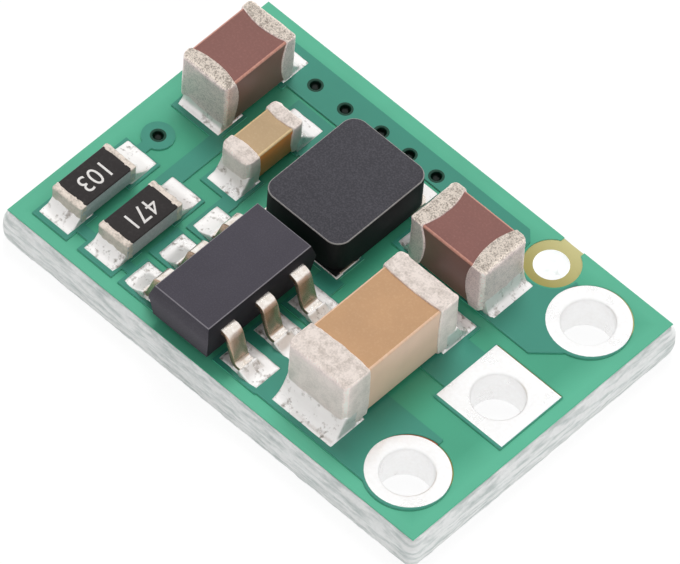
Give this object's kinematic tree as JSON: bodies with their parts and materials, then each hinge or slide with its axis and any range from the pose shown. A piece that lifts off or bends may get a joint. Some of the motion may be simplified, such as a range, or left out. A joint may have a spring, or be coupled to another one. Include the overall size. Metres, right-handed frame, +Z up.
{
  "type": "buck converter module",
  "caption": "Small step-down regulator board with a row of plated pin holes, a moulded choke, a gull-wing regulator, ceramic chip capacitors and chip resistors.",
  "frame": {"origin": "middle of the board's underside", "axes": "+X along the board's long side towards the row of pin holes, +Y along the short side from the input hole to the output hole, +Z up from the underside through the parts"},
  "size_m": [0.0112, 0.0076, 0.0024],
  "materials": {
    "laminate": "rough routed glass-epoxy edge",
    "solder_mask": "glossy green lacquer",
    "copper": "etched copper",
    "tinned_copper": "bright tin over copper",
    "solder": "bright solder",
    "package": "fine moulded grain",
    "silicon": "polished",
    "lead": "tin-plated and bright",
    "choke_powder": "fine pressed grain",
    "alumina": "fired and unglazed",
    "glaze": "glossy black",
    "end_metal": "matte tin, slightly speckled",
    "brown_ceramic": "satin brown",
    "tan_ceramic": "satin tan"
  },
  "bodies": {
    "root": {"barrel_of_ground_hole": "tinned_copper", "barrel_of_input_hole": "tinned_copper", "barrel_of_output_hole": "tinned_copper", "board_laminate": "laminate", "boost_capacitor_ceramic": "tan_ceramic", "boost_capacitor_first_cap": "end_metal", "boost_capacitor_second_cap": "end_metal", "boost_capacitor_solder": "solder", "boost_copper": "copper", "bottom_copper": "copper", "bottom_solder_mask": "solder_mask", "choke_body": "choke_powder", "choke_first_terminal": "tinned_copper", "choke_second_terminal": "tinned_copper", "choke_solder": "solder", "choke_winding": "copper", "corner_capacitor_ceramic": "brown_ceramic", "corner_capacitor_first_cap": "end_metal", "corner_capacitor_second_cap": "end_metal", "corner_capacitor_solder": "solder", "feedback_copper": "copper", "ground_copper": "copper", "input_capacitor_ceramic": "tan_ceramic", "input_capacitor_first_cap": "end_metal", "input_capacitor_second_cap": "end_metal", "input_capacitor_solder": "solder", "input_copper": "copper", "lower_resistor_first_terminal": "end_metal", "lower_resistor_glaze": "glaze", "lower_resistor_second_terminal": "end_metal", "lower_resistor_solder": "solder", "lower_resistor_substrate": "alumina", "output_capacitor_ceramic": "brown_ceramic", "output_capacitor_first_cap": "end_metal", "output_capacitor_second_cap": "end_metal", "output_capacitor_solder": "solder", "output_copper": "copper", "regulator_boost_lead": "lead", "regulator_die": "silicon", "regulator_enable_lead": "lead", "regulator_feedback_lead": "lead", "regulator_ground_lead": "lead", "regulator_input_lead": "lead", "regulator_package": "package", "regulator_solder": "solder", "regulator_switch_lead": "lead", "switch_copper": "copper", "top_solder_mask": "solder_mask", "upper_resistor_first_terminal": "end_metal", "upper_resistor_glaze": "glaze", "upper_resistor_second_terminal": "end_metal", "upper_resistor_solder": "solder", "upper_resistor_substrate": "alumina", "via_barrels": "copper"}
  },
  "joints": []
}
